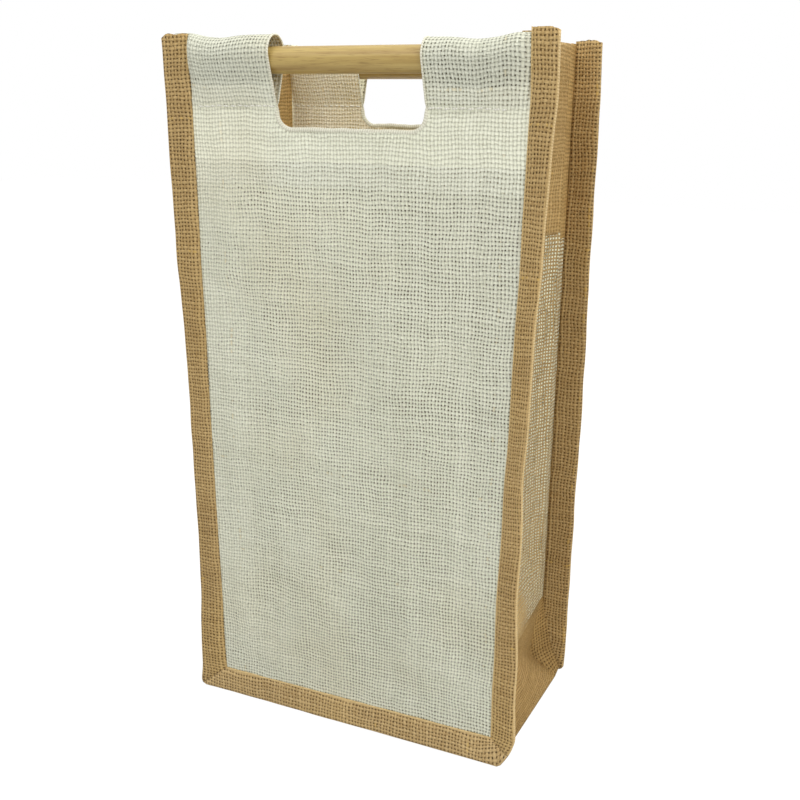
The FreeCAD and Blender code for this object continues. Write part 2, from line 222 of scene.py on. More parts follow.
def tube_shape(path, radius, sides):
    """Vertices, quads and flat places of a round thread or roll that follows a path."""
    ahead = np.gradient(path, axis=0)
    ahead /= np.linalg.norm(ahead, axis=1)[:, None]
    reference = np.array([0.31, 0.87, 0.38])
    side = np.cross(ahead, reference)
    side /= np.linalg.norm(side, axis=1)[:, None]
    other = np.cross(ahead, side)
    turn = np.linspace(0, 2 * math.pi, sides, endpoint=False)
    ring = np.cos(turn)[None, :, None] * side[:, None] + np.sin(turn)[None, :, None] * other[:, None]
    vertices = path[:, None] + ring * radius[:, None, None]
    flat = grid(turn * radius.mean(), lengths_along(path)[:, None])
    index = np.arange(len(path) * sides).reshape(len(path), sides)
    after = np.roll(index, -1, axis=1)
    quads = np.stack([index[:-1], after[:-1], after[1:], index[1:]], axis=-1).reshape(-1, 4)
    return vertices.reshape(-1, 3), quads, flat.reshape(-1, 2)


def tubes_piece(name, paths, radius, material, sides=8, taper=0.25):
    """One object made of several rolls or threads, which taper at both ends."""
    vertices, faces, weave = [], [], []
    start = 0
    for path in paths:
        full = np.full(len(path), float(radius))
        full[[0, -1]] = radius * taper
        points, quads, flat = tube_shape(path, full, sides)
        vertices.append(points)
        faces.append(quads + start)
        weave.append(flat)
        start += len(points)
    parts = (np.concatenate(each) for each in (vertices, faces, weave))
    return new_object(name, *parts, [material])


# Shader nodes


class Graph:
    """Adds shader nodes to a tree and links them, so that a material reads as a sum."""

    def __init__(self, tree):
        self.tree = tree
        tree.nodes.clear()

    def node(self, kind, inputs=None, **settings):
        made = self.tree.nodes.new(kind)
        for name, value in settings.items():
            setattr(made, name, value)
        for name, value in (inputs or {}).items():
            self.plug(made.inputs[name], value)
        return made

    def plug(self, socket, value):
        if isinstance(value, bpy.types.NodeSocket):
            self.tree.links.new(value, socket)
        else:
            socket.default_value = value

    def math(self, operation, first, second=0.0, third=0.0, clamp=False):
        inputs = {0: first, 1: second, 2: third}
        return self.node("ShaderNodeMath", inputs, operation=operation, use_clamp=clamp).outputs[0]

    def plus(self, first, second, clamp=False):
        return self.math("ADD", first, second, clamp=clamp)

    def minus(self, first, second):
        return self.math("SUBTRACT", first, second)

    def times(self, first, second):
        return self.math("MULTIPLY", first, second)

    def above(self, value, limit):
        """1 where the value is over the limit, and 0 elsewhere."""
        return self.math("GREATER_THAN", value, limit)

    def line(self, value, slope, start, clamp=False):
        """slope times the value, plus start."""
        return self.math("MULTIPLY_ADD", value, slope, start, clamp=clamp)

    def ramp(self, place, full, none):
        """1 up to the place full and 0 from the place none on, both in mm, and straight between them."""
        return self.math("DIVIDE", self.minus(none * MM, place), (none - full) * MM, clamp=True)

    def mix(self, share, low, high):
        """A number between two numbers."""
        return self.node("ShaderNodeMix", {0: share, 2: low, 3: high}, data_type="FLOAT").outputs[0]

    def mix_colour(self, share, low, high, blend="MIX"):
        """A colour between two colours."""
        inputs = {0: share, 6: low, 7: high}
        return self.node("ShaderNodeMix", inputs, data_type="RGBA", blend_type=blend).outputs[2]

    def grey(self, value):
        return self.node("ShaderNodeCombineColor", {"Red": value, "Green": value, "Blue": value}).outputs[0]

    def shade(self, share, first, second):
        """One shader mixed into another."""
        return self.node("ShaderNodeMixShader", {0: share, 1: first, 2: second}).outputs[0]

    def flat_place(self):
        """The place on the flat cloth, in metres."""
        return self.node("ShaderNodeTexCoord").outputs["UV"]

    def point(self, x, y):
        return self.node("ShaderNodeCombineXYZ", {"X": x, "Y": y}).outputs[0]

    def parts(self, vector):
        """The X, Y and Z of a vector."""
        return self.node("ShaderNodeSeparateXYZ", {"Vector": vector}).outputs

    def noise(self, vector, scale, detail=1.0, rough=0.5, output=0):
        """Smooth noise over a flat place, with its scale in waves for each unit of length."""
        inputs = {"Vector": vector, "Scale": scale, "Detail": detail, "Roughness": rough}
        return self.node("ShaderNodeTexNoise", inputs, noise_dimensions="2D").outputs[output]

    def lottery(self, number):
        """A random number from 0 to 1 for each whole number."""
        return self.node("ShaderNodeTexWhiteNoise", {"W": number}, noise_dimensions="1D").outputs["Value"]

    def bump(self, height, strength, distance):
        """A normal that follows a height, with its distance in mm."""
        inputs = {"Height": height, "Strength": strength, "Distance": distance * MM}
        return self.node("ShaderNodeBump", inputs).outputs[0]

    def end(self, shown, kind="ShaderNodeOutputMaterial"):
        """Ends the tree with what it shows."""
        self.node(kind, {"Surface": shown})


def linear(red, green, blue):
    """A colour given by its 0 to 255 screen values, as a shader colour."""
    def one(value):
        share = value / 255
        return share / 12.92 if share <= 0.04045 else ((share + 0.055) / 1.055) ** 2.4
    return (one(red), one(green), one(blue), 1.0)


def new_material(name):
    material = bpy.data.materials.new(name)
    material.use_nodes = True
    return material, Graph(material.node_tree)


THROUGH_TINT = linear(255, 248, 232)


def surface(g, colour, roughness, normal, alpha=None, through=0.0, shine=0.2):
    """Ends a material in a Principled shader.

    through is the share of the light that passes, and alpha is 0 where the cloth has a hole.
    """
    inputs = {"Base Color": colour, "Roughness": roughness, "Normal": normal, "Specular IOR Level": shine}
    shown = g.node("ShaderNodeBsdfPrincipled", inputs).outputs[0]
    if through:
        warm = g.mix_colour(1.0, colour, THROUGH_TINT, "MULTIPLY")
        glow = g.node("ShaderNodeBsdfTranslucent", {"Color": warm, "Normal": normal})
        shown = g.shade(through, shown, glow.outputs[0])
    if alpha is not None:
        shown = g.shade(alpha, g.node("ShaderNodeBsdfTransparent").outputs[0], shown)
    g.end(shown)


# Weave

# How far the threads drift, in threads, and how far apart two seeds lie.
DRIFT, SEED_STEP = 1.6, 37.0

# Where the lotteries of the two sets of threads and of the odd threads start.
LUCK_STARTS, ODD_START = (0.37, 211.37), 0.71

# How slubs and fibres are stretched: across a thread and along it.
SLUB_STRETCH, FIBRE_STRETCH = (5.3, 0.21), (5.0, 0.7)

# How high a thread lifts over the next one and how deep a gap lies, in half widths of a thread.
THREAD_LIFT, GAP_HEIGHT = 0.75, -1.2
DEEPEST_SHADE = 0.5


def thread_grid(g, flat, pitch, seed):
    """Each place's thread numbers across and along the cloth, and how far it is from their middles."""
    drift = g.parts(g.noise(flat, scale=38.0, detail=2.0, output="Color"))
    jolt = g.parts(g.noise(flat, scale=150.0, output="Color"))
    place = g.parts(flat)
    cells, offsets = [], []
    for axis in (0, 1):
        count = g.math("DIVIDE", place[axis], pitch[axis] * MM)
        wander = g.line(drift[axis], slope=DRIFT, start=SEED_STEP * seed - DRIFT / 2)
        wander = g.line(jolt[axis], slope=0.35, start=wander)
        moved = g.plus(count, wander)
        cell = g.math("FLOOR", moved)
        cells.append(cell)
        offsets.append(g.minus(g.minus(moved, cell), 0.5))
    return cells, offsets


def thread_swell(g, flat, shut, clear, slope):
    """How many times as wide the threads are, more towards the place where they touch."""
    place = g.parts(flat)
    across = g.line(place[1], slope, place[0])
    return g.line(g.ramp(across, shut, clear), slope=0.8, start=1.0)


def thread_set(g, axis, cells, offsets, width, fuzz, over):
    """One of the weave's two sets of threads: its height, where it covers the cloth, and its tint."""
    other = 1 - axis
    luck = g.lottery(g.plus(cells[axis], LUCK_STARTS[axis]))
    along = g.plus(cells[other], offsets[other])
    slub_place = g.point(g.times(cells[axis], SLUB_STRETCH[0]), g.times(along, SLUB_STRETCH[1]))
    slub = g.noise(slub_place, scale=1.0, detail=2.0)
    spread = g.line(slub, slope=0.5, start=g.line(luck, slope=0.14, start=0.68))
    half = g.times(spread, width)
    inside = g.minus(g.plus(half, fuzz), g.math("ABSOLUTE", offsets[axis]))
    cover = g.line(inside, slope=7.0, start=0.5, clamp=True)
    ratio = g.math("DIVIDE", offsets[axis], half)
    flank = g.line(g.times(ratio, ratio), slope=-1.0, start=1.0)
    crown = g.math("SQRT", g.math("MAXIMUM", flank, 0.0))
    wave = g.math("COSINE", g.times(offsets[other], math.pi))
    lift = g.times(g.times(wave, over), THREAD_LIFT if axis == 0 else -THREAD_LIFT)
    height = g.mix(cover, GAP_HEIGHT, g.plus(crown, lift))
    fibre_place = [0, 0]
    fibre_place[axis] = g.times(g.plus(cells[axis], offsets[axis]), FIBRE_STRETCH[0])
    fibre_place[other] = g.times(along, FIBRE_STRETCH[1])
    fibre = g.noise(g.point(*fibre_place), scale=1.0, detail=3.0, rough=0.6)
    tint = g.line(fibre, slope=0.85, start=g.times(luck, 0.2))
    return height, cover, tint


def thread_colour(g, flat, tint, cell, pale, deep, fleck):
    """The colour of the upper thread: from deep to pale by its tint, with odd threads and warm clouds."""
    odd = g.above(g.lottery(g.plus(cell, ODD_START)), limit=0.985)
    patch = g.above(g.noise(flat, scale=140.0), limit=0.62)
    warmth = g.line(g.noise(flat, scale=11.0, detail=2.0), slope=2.4, start=-1.1, clamp=True)
    colour = g.mix_colour(tint, deep, pale)
    colour = g.mix_colour(g.times(g.times(odd, patch), 0.5), colour, fleck)
    return g.mix_colour(g.times(warmth, 0.3), colour, fleck)


def gap_colour(g, flat, gap, deep, gap_fade):
    """The colour between the threads: gap, with patches of deep where a gap is filled, and more of deep on
    the way from the second x place of gap_fade to the first.
    """
    fill = g.line(g.noise(flat, scale=34.0, detail=2.0), slope=1.3, start=-1.5)
    if gap_fade:
        fill = g.line(g.ramp(g.parts(flat)[0], *gap_fade), slope=0.65, start=fill)
    fill = g.line(g.noise(flat, scale=520.0), slope=2.2, start=fill, clamp=True)
    return g.mix_colour(fill, gap, deep)


def weave_material(
    name, pitch, thread, colours, seed, through=0.0, gap=None, fray=0.16, gap_fade=None, tight=None,
):
    """A plain weave of uneven threads. The gaps between them have the colour gap, or else are open holes.

    pitch is the spacing of the threads in mm across and along the cloth, and thread is their width as a
    share of that. colours are the two ends of the thread colours, pale and deep, and that of odd threads.
    through is the share of the light that goes on through the threads, and fray roughens their edges.
    gap_fade is a pair of x places in mm, and the gaps turn towards the deep thread colour on the way from the
    second to the first.
    tight is such a pair where the threads swell until they touch, and how far it shifts for each mm along.
    """
    material, g = new_material(name)
    pale, deep, fleck = (linear(*colour) for colour in colours)
    flat = g.flat_place()
    cells, offsets = thread_grid(g, flat, pitch, seed)
    parity = g.math("FLOORED_MODULO", g.plus(*cells), 2.0)
    over = g.line(parity, slope=-2.0, start=1.0)
    fuzz = g.line(g.noise(flat, scale=1700.0, detail=3.0, rough=0.65), slope=2 * fray, start=-fray)
    swell = thread_swell(g, flat, *tight) if tight else 1.0
    widths = [g.times(share / 2, swell) for share in thread]
    sets = [thread_set(g, axis, cells, offsets, widths[axis], fuzz, over) for axis in (0, 1)]
    heights, covers, tints = zip(*sets)
    on_top = g.above(*heights)
    height = g.math("MAXIMUM", *heights)
    cover = g.math("MAXIMUM", *covers)
    cloud = g.line(g.noise(flat, scale=16.0, detail=3.0), slope=0.35, start=-0.2)
    tint = g.plus(g.mix(on_top, tints[1], tints[0]), cloud, clamp=True)
    cell = g.mix(on_top, cells[1], cells[0])
    colour = thread_colour(g, flat, tint, cell, pale, deep, fleck)
    shade = g.mix(g.line(height, slope=0.4, start=0.38, clamp=True), DEEPEST_SHADE, 1.0)
    colour = g.mix_colour(1.0, colour, g.grey(shade), "MULTIPLY")
    # Gaps are painted in the gap colour, which stands for what shows through: painted shade behind most of
    # the cloths.
    if gap:
        colour = g.mix_colour(cover, gap_colour(g, flat, linear(*gap), deep, gap_fade), colour)
        cover = None
    rough = g.line(tint, slope=-0.15, start=0.97)
    surface(g, colour, rough, g.bump(height, strength=0.7, distance=0.22 * pitch[0]), cover, through)
    return material


# The bleached jute of the panels: single, doubled, inside, and where the doubled cloth shows half through.
SINGLE, DOUBLED, INSIDE, HALF_DOUBLED = range(4)
PANEL_PITCH = (1.72, 2.02)
SINGLE_THREAD, HALF_THREAD, DENSE_THREAD = (0.66, 0.67), (0.70, 0.71), (0.76, 0.76)
PANEL_COLOURS = ((253, 255, 238), (217, 219, 197), (226, 214, 174))
# Painted shade: the dark of the bag's inside, seen through the gaps of the single cloth, front and back.
PANEL_GAP_SHADE = (88, 82, 59)
PANEL_GAP_FADE = (-85.0, -25.0)
HALF_COLOURS = ((250, 251, 234), (217, 218, 195), (228, 214, 174))
# Partly painted shade of the inside, partly the doubled cloth's second layer showing through the gaps.
HALF_GAP_SHADE = (146, 140, 112)
DENSE_COLOURS = ((253, 254, 235), (226, 227, 202), (244, 236, 206))
DENSE_GAP = (204, 199, 170)
# The inside face is the same jute painted paler and warmer: painted light for what falls in through the bag's
# mouth and through its cloth. Its warm gold gaps are painted light passing through the outer cloth behind
# them.
INSIDE_THREAD = (0.66, 0.66)
INSIDE_LIT_COLOURS = ((255, 252, 240), (248, 240, 208), (240, 214, 150))
INSIDE_LIT_GAP = (214, 190, 124)
BACK_DENSE_COLOURS = ((250, 249, 233), (221, 219, 196), (234, 226, 196))
BACK_DENSE_GAP = (192, 187, 160)
PANEL_WEAVE = weave_material(
    "panel_jute", PANEL_PITCH, SINGLE_THREAD, PANEL_COLOURS, 1, through=0.15, gap=PANEL_GAP_SHADE,
    gap_fade=PANEL_GAP_FADE,
)
HALF_WEAVE = weave_material(
    "doubled_edge_jute", PANEL_PITCH, HALF_THREAD, HALF_COLOURS, 1, gap=HALF_GAP_SHADE, gap_fade=PANEL_GAP_FADE,
)
DENSE_WEAVE = weave_material("doubled_jute", PANEL_PITCH, DENSE_THREAD, DENSE_COLOURS, 1, gap=DENSE_GAP)
INSIDE_LIT_WEAVE = weave_material("panel_inside_painted_light", PANEL_PITCH, INSIDE_THREAD, INSIDE_LIT_COLOURS, 4, gap=INSIDE_LIT_GAP)
BACK_WEAVE = weave_material(
    "back_jute", PANEL_PITCH, SINGLE_THREAD, PANEL_COLOURS, 5, through=0.48, gap=PANEL_GAP_SHADE,
)
BACK_DENSE_WEAVE = weave_material(
    "back_doubled_jute", PANEL_PITCH, DENSE_THREAD, BACK_DENSE_COLOURS, 5, through=0.36, gap=BACK_DENSE_GAP,
)
BACK_HALF_WEAVE = weave_material(
    "back_doubled_edge_jute", PANEL_PITCH, HALF_THREAD, BACK_DENSE_COLOURS, 5, through=0.42, gap=HALF_GAP_SHADE,
)
CLOTH_KINDS = {
    "front": [PANEL_WEAVE, DENSE_WEAVE, INSIDE_LIT_WEAVE, HALF_WEAVE],
    "back": [BACK_WEAVE, BACK_DENSE_WEAVE, INSIDE_LIT_WEAVE, BACK_HALF_WEAVE],
}

# The natural jute of the bindings and the gusset, whose weave is open, hemmed or tight.
OPEN, HEMMED, TIGHT = range(3)
JUTE_PITCH = (1.95, 1.98)
BINDING_THREAD, OPEN_THREAD, GUSSET_THREAD = (0.68, 0.70), (0.43, 0.43), (0.70, 0.70)
JUTE_COLOURS = ((227, 197, 140), (143, 110, 60), (214, 176, 96))
# Painted shade: the dark under the folded strips and within the doubled gusset, seen through their gaps.
JUTE_GAP_SHADE = (74, 50, 22)
JUTE_FRAY = 0.24
# A paler copy of JUTE_COLOURS for the bottom strips: painted light on the same binding jute.
FOOT_LIT_COLOURS = ((238, 210, 156), (160, 126, 74), (220, 184, 108))
GUSSET_COLOURS = ((216, 182, 120), (156, 120, 66), (214, 176, 96))
# A paler copy of the gusset jute for its top hem: painted light on the same cloth. Its paler gaps are the
# doubled hem's second layer showing through.
HEM_LIT_COLOURS = ((248, 216, 152), (176, 138, 78), (230, 190, 106))
HEM_GAP = (178, 142, 84)


def closed_jute(name, thread, colours, seed, gap=JUTE_GAP_SHADE, through=0.0):
    return weave_material(name, JUTE_PITCH, thread, colours, seed, through, gap, JUTE_FRAY)


JUTE_WEAVE = closed_jute("natural_jute", BINDING_THREAD, JUTE_COLOURS, 2)
FOOT_LIT_WEAVE = closed_jute("foot_jute_painted_light", BINDING_THREAD, FOOT_LIT_COLOURS, 2)
OPEN_WEAVE = weave_material(
    "gusset_jute", JUTE_PITCH, OPEN_THREAD, JUTE_COLOURS, 3, through=0.15, tight=(11.0, 23.0, 0.14),
)
GUSSET_WEAVE = closed_jute("doubled_gusset_jute", GUSSET_THREAD, GUSSET_COLOURS, 3, through=0.22)
HEM_LIT_WEAVE = closed_jute("gusset_hem_jute_painted_light", GUSSET_THREAD, HEM_LIT_COLOURS, 3, HEM_GAP, through=0.2)
GUSSET_KINDS = [OPEN_WEAVE, HEM_LIT_WEAVE, GUSSET_WEAVE]


# Thread and wood

# The waves of a thread's twist across and along it, and of the wood's bands and pores along X, Y and Z.
TWIST_WAVES = (900.0, 5200.0)
BAND_WAVES, PORE_WAVES = (14.0, 420.0, 420.0), (120.0, 1900.0, 1900.0)


def thread_material(name, pale, deep):
    """Twisted sewing thread or a rolled, overcast edge."""
    material, g = new_material(name)
    flat = g.flat_place()
    place = g.parts(flat)
    twist = g.plus(g.times(place[0], TWIST_WAVES[0]), g.times(place[1], TWIST_WAVES[1]))
    strand = g.line(g.math("SINE", twist), slope=0.5, start=0.5)
    grain = g.noise(flat, scale=900.0, detail=3.0)
    share = g.line(grain, slope=0.6, start=g.times(strand, 0.5), clamp=True)
    colour = g.mix_colour(share, linear(*deep), linear(*pale))
    rough = g.line(grain, slope=0.2, start=0.7)
    surface(g, colour, rough, g.bump(share, strength=0.6, distance=0.2))
    return material


def wood_material(name, pale, deep, pore):
    """A turned dowel of pale straight-grained wood, with the grain along X."""
    material, g = new_material(name)
    place = g.node("ShaderNodeTexCoord").outputs["Object"]

    def grain(waves, detail):
        stretched = g.node("ShaderNodeVectorMath", {0: place, 1: waves}, operation="MULTIPLY").outputs[0]
        return g.node("ShaderNodeTexNoise", {"Vector": stretched, "Scale": 1.0, "Detail": detail}).outputs[0]

    band = g.line(grain(BAND_WAVES, detail=3.0), slope=2.2, start=-0.6, clamp=True)
    streak = g.line(grain(PORE_WAVES, detail=2.0), slope=5.0, start=-2.75, clamp=True)
    colour = g.mix_colour(band, linear(*deep), linear(*pale))
    colour = g.mix_colour(g.times(streak, 0.5), colour, linear(*pore))
    rough = g.line(streak, slope=0.2, start=0.4)
    normal = g.bump(g.minus(band, streak), strength=0.25, distance=0.15)
    surface(g, colour, rough, normal, shine=0.5)
    return material


WHITE_THREAD = thread_material("white_thread", (250, 249, 240), (205, 202, 186))
HOLE_THREAD = thread_material("hole_thread", (240, 239, 222), (196, 192, 170))
CREASE_THREAD = thread_material("jute_crease", (226, 200, 148), (180, 150, 98))
DOWEL_WOOD = wood_material("handle_wood", (196, 171, 103), (152, 121, 60), (104, 70, 32))


# Panel cloth with its sleeves

# How far the hand hole's left and right edges are sewn to the right.
HOLE_SHIFTS = {"front": (2.8, 3.0), "back": (0.0, 0.0)}
GUSSET_LINE_X = SIDE_X + CLOSE

# The sleeve where the binding presses it, its dip and rise along x, and its tilt.
SLEEVE_PRESS, PINCH_RISE = 0.88, 0.15
PRESS_FROM, PRESS_TO = -4.5, 0.8
SLEEVE_DIP, DIP_X, DIP_WIDTH = 1.2, 66.0, 9.0
SLEEVE_RISE, RISE_X = 1.3, 74.0
SLEEVE_TILT = 1.2

# How far the hanging cloth strays from its seam plane.
SWAY, SWAY_X = 1.5, 62.0
SWAY_FROM_Z, SWAY_TO_Z = 10.0, 60.0
FACING_CALM, CALM_RISE = 0.6, 30.0
CRINKLE, CRINKLE_X, CRINKLE_TOP_Z = 0.25, 74.0, 352.0
SLEEVE_SOFT = 0.175
HEM_LOOSE, LOOSE_RISE = 0.8, 18.0

# Rows on which the doubled cloth shows half through: by the facing's hem and over the sleeve's seam.
HEM_BELOW, HEM_ABOVE, SEAM_ABOVE = 2.0, 8.0, 9.0

# The rolled edge of the hand hole and the stitches.
HOLE_ROLL, ROLL_UNEVEN, ROLL_RISE = 1.15, 0.25, 1.0
SLEEVE_ROLL = 0.5
STITCH_RADIUS, STITCH_STAND, STITCH_BOW = 0.44, 0.35, 0.3
STITCH_DROP, STITCH_SLIP, STITCH_SLANT = 0.5, 0.3, 0.3
STITCH_START, STITCH_END = 1.0, 5.0
STITCH_LENGTHS, STITCH_GAPS = (2.4, 3.4), (0.5, 0.9)
SUNK, SUNK_FROM, SUNK_TO = 0.3, 9.0, 16.0


def drop_section(rows_flank=10, rows_arc=22):
    """The sleeve's middle line round the dowel, from outside to inside, as out from the seam plane and z."""
    radius = SLEEVE_RADIUS - LAYER_HALF
    centre_z = SLEEVE_TOP_Z - SLEEVE_RADIUS
    rise = centre_z - SLEEVE_FOOT_Z
    lean = math.asin((radius - LAYER_HALF) / rise)
    touch = np.array([radius * math.cos(lean), centre_z - radius * math.sin(lean)])
    flank = np.linspace((LAYER_HALF, SLEEVE_FOOT_Z), touch, rows_flank)
    angle = np.linspace(-lean, math.pi + lean, rows_arc)
    arc = grid(radius * np.cos(angle), centre_z + radius * np.sin(angle))
    inner = flank[::-1] * (-1, 1)
    return np.concatenate([flank, arc[1:-1], inner])


def hole_edges(face):
    """The x of the hand hole's left and right edges."""
    left, right = HOLE_SHIFTS[face]
    return -HOLE_X + left, HOLE_X + right


def cloth_columns(face):
    """The x places of the panel's columns, with one on each edge of the hand hole and at each gusset."""
    edges = (-CLOTH_REACH, -GUSSET_LINE_X, *hole_edges(face), GUSSET_LINE_X, CLOTH_REACH)
    return corner_line(edges, (5, 22, 32, 22, 5))


def cloth_rows(rows_panel=110, rows_corner=6, rows_facing=11):
    """The rows of the panel cloth from its foot, over the dowel, to the hem of its facing.

    Gives each row's out from the seam plane, its z and its place along the flat cloth.
    """
    low = np.linspace(CLOTH_FOOT_Z, HOLE_Z, rows_panel)
    corner = np.linspace(HOLE_Z, SLEEVE_FOOT_Z, rows_corner)[1:-1]
    facing = np.linspace(HOLE_Z, FACING_Z, rows_facing)
    panel = grid(LAYER_HALF, np.concatenate([low, corner]))
    inside = grid(-LAYER_HALF, np.concatenate([corner[::-1], facing]))
    rows = np.concatenate([panel, drop_section(), inside])
    return rows[:, 0], rows[:, 1], lengths_along(rows)


def touched(cells):
    """Which points of a grid touch one of these cells."""
    rows, columns = cells.shape
    points = np.zeros((rows + 1, columns + 1), bool)
    for down, across in ((0, 0), (0, 1), (1, 0), (1, 1)):
        points[down:rows + down, across:columns + across] |= cells
    return points


def cut_hole(face, x, z):
    """Which cells of the panel grid are cloth, and its x and z with the rim moved onto rounded corners."""
    left, right = hole_edges(face)
    middle, half = (left + right) / 2, (right - left) / 2
    centre_x, centre_z = half - HOLE_RADIUS, HOLE_Z + HOLE_RADIUS
    beside = np.abs(x - middle)
    cell_x = (beside[:-1, :-1] + beside[:-1, 1:]) / 2
    cell_z = (z[:-1, :-1] + z[1:, :-1]) / 2
    in_hole = (cell_x < half) & (cell_z > HOLE_Z)
    past_arc = np.hypot(cell_x - centre_x, cell_z - centre_z) > HOLE_RADIUS
    in_hole &= ~((cell_x > centre_x) & (cell_z < centre_z) & past_arc)
    at_corner = (beside > centre_x) & (z < centre_z) & (z > HOLE_Z - CLOSE)
    rim = touched(in_hole) & touched(~in_hole) & at_corner
    away_x, away_z = beside - centre_x, z - centre_z
    scale = HOLE_RADIUS / np.maximum(np.hypot(away_x, away_z), CLOSE)
    round_x = middle + np.sign(x - middle) * (centre_x + away_x * scale)
    return ~in_hole, np.where(rim, round_x, x), np.where(rim, centre_z + away_z * scale, z)


def sleeve_share(z):
    """0 at the sleeve's foot and below it, and 1 at its top."""
    return np.clip((z - SLEEVE_FOOT_Z) / (SLEEVE_TOP_Z - SLEEVE_FOOT_Z), 0, 1)


def sleeve_pinch(face, x):
    """How round the sleeve is: full over the dowel, and pressed flat where the binding holds it."""
    shift = np.where(x < 0, *(seam_shift(face, side, SLEEVE_TOP_Z) for side in SIDES))
    return 1 - SLEEVE_PRESS * smooth_step(PRESS_FROM, PRESS_TO, np.abs(x) - SEAM_X - shift)


def sleeve_lift(x):
    """How far the sleeve's top stands above its CAD height along x: a dip, then a rise to the binding."""
    across = np.abs(x)
    dip = -SLEEVE_DIP * np.exp(-(((across - DIP_X) / DIP_WIDTH) ** 2))
    return dip + SLEEVE_RISE * smooth_step(RISE_X, SEAM_X, across) - SLEEVE_TILT * np.sign(x)


def stray(face, x, z, above, out):
    """How far the hanging cloth strays outwards: sway, crinkles, soft sleeves and the facing's loose hem."""
    sign, across = FACES[face], np.abs(x)
    calm = 1 - smooth_step(SWAY_X, SEAM_X, across)
    calm = calm * smooth_step(SWAY_FROM_Z, SWAY_TO_Z, z)
    calm = calm * (1 - FACING_CALM * smooth_step(FACING_Z - CALM_RISE, FACING_Z, z))
    sway = SWAY * calm * ripple(x, z, 3 + sign)
    crinkle = CRINKLE * ripple(x, z, 30 + sign, shortest=9, longest=22)
    crinkle = crinkle * (1 - smooth_step(SLEEVE_FOOT_Z, CRINKLE_TOP_Z, z))
    crinkle = crinkle * (1 - smooth_step(CRINKLE_X, SEAM_X, across))
    soft = SLEEVE_SOFT * ripple(x, z, 50 + sign, shortest=12, longest=40)
    soft = soft * np.sin(math.pi * above) * np.sign(out)
    loose = -HEM_LOOSE * smooth_step(FACING_Z + LOOSE_RISE, FACING_Z, z) * (out < 0)
    return sway + crinkle + loose + soft


def make_face_cloth(face):
    """The panel, its two sleeves and its facing as one length of cloth, with its flat width and length."""
    sign = FACES[face]
    columns = cloth_columns(face)
    row_out, row_z, row_along = cloth_rows()
    x, z = np.meshgrid(columns, row_z)
    weave = grid(x, row_along[:, None])
    keep, x, z = cut_hole(face, x, z)
    above = sleeve_share(z)
    pinch = 1 + (sleeve_pinch(face, x) - 1) * smooth_step(0, PINCH_RISE, above)
    z = z + sleeve_lift(x) * above
    out = row_out[:, None]
    lean = flange_lean(face, HALF_WIDTH - np.abs(x), z)
    reach = SEAM_OUT + out * pinch + stray(face, x, z, above, out) - lean
    turned = int(np.argmax(row_z)) + 1
    keep[turned:, np.abs(columns[:-1] + columns[1:]) / 2 > GUSSET_LINE_X] = False
    cloth = sheet_piece(
        f"{face}_cloth", grid(x, sign * reach, z), weave, CLOTH_KINDS[face],
        keep=keep, kinds=cloth_kinds(row_z[:-1], turned, len(columns) - 1), flip=sign < 0,
    )
    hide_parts(f"{face}_panel", f"{face}_facing", f"{face}_left_sleeve", f"{face}_right_sleeve")
    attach(cloth, face)
    return cloth, (2 * CLOTH_REACH * MM, row_along[-1] * MM)


def cloth_kinds(z, turned, columns):
    """Each cell's place in CLOTH_KINDS. The rows from turned on are the inside."""
    kinds = np.full((len(z), columns), SINGLE)
    kinds[(z > FACING_Z) & (z < SLEEVE_FOOT_Z)] = DOUBLED
    kinds[(z > FACING_Z - HEM_BELOW) & (z < FACING_Z + HEM_ABOVE)] = HALF_DOUBLED
    kinds[(z >= SLEEVE_FOOT_Z) & (z < SLEEVE_FOOT_Z + SEAM_ABOVE)] = HALF_DOUBLED
    kinds[turned:] = INSIDE
    return kinds


def hole_outline(face):
    """The hand hole's edge in x and z, from one sleeve foot round its lower edge to the other."""
    left, right = hole_edges(face)
    top = SLEEVE_FOOT_Z + ROLL_RISE
    angle = np.linspace(0, 0.5 * math.pi, 12)
    turn = HOLE_RADIUS * grid(1 - np.cos(angle), 1 - np.sin(angle))
    across = np.linspace(left + HOLE_RADIUS, right - HOLE_RADIUS, 60)[1:-1]
    return np.concatenate([
        [(left, top)],
        turn + (left, HOLE_Z),
        grid(across, HOLE_Z),
        turn[::-1] * (-1, 1) + (right, HOLE_Z),
        [(right, top)],
    ])


def make_hole_edge(face):
    """The rolled and overcast edge of the hand hole, and the turned ends of the two sleeves."""
    sign = FACES[face]
    x, z = hole_outline(face).T
    uneven = ROLL_UNEVEN * ripple(x, z, 70 + sign, shortest=5, longest=25)
    path = grid(x, sign * SEAM_OUT, z + uneven)
    edge = tubes_piece(f"{face}_hole_edge", [path], HOLE_ROLL, HOLE_THREAD, sides=10)
    out, z = drop_section().T
    rims = []
    for edge_x in hole_edges(face):
        rims.append(grid(edge_x, sign * (SEAM_OUT + out), z + sleeve_lift(edge_x) * sleeve_share(z)))
    rim = tubes_piece(f"{face}_sleeve_ends", rims, SLEEVE_ROLL, HOLE_THREAD)
    for piece in (edge, rim):
        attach(piece, face)
    return edge, rim


